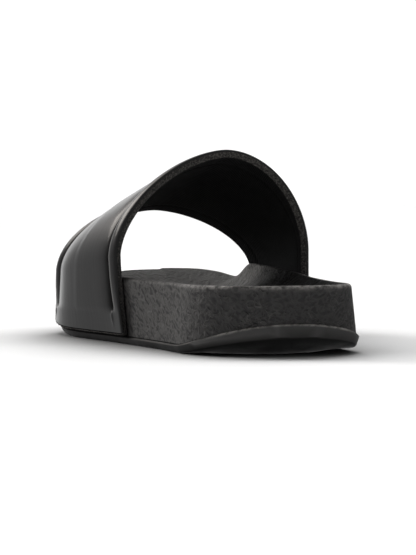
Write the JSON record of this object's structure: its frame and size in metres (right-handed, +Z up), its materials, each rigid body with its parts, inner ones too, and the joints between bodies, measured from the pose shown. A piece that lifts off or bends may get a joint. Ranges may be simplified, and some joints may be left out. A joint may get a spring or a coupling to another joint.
{
  "type": "sport slide sandal",
  "caption": "Slip-on slide sandal for the left foot: contoured moulded footbed on a thin grooved outsole, with one wide padded strap over the instep.",
  "frame": {"origin": "middle of the bounding box, on the floor that the outsole stands on", "axes": "+Y from heel to toe, +X towards the medial, big-toe side, +Z up"},
  "size_m": [0.1058, 0.28, 0.0855],
  "materials": {
    "outsole": "smooth matt black moulded rubber",
    "footbed": "semi-matt black moulded foam with a wrinkled leather grain",
    "strap_cover": "smooth satin black coated fabric, padded and welded along both edges",
    "strap_edge": "dark grey-brown flecked textile edge",
    "strap_lining": "matt black knitted lining"
  },
  "bodies": {
    "root": {"outsole": "outsole", "footbed": "footbed", "strap": "strap_cover"}
  },
  "joints": []
}
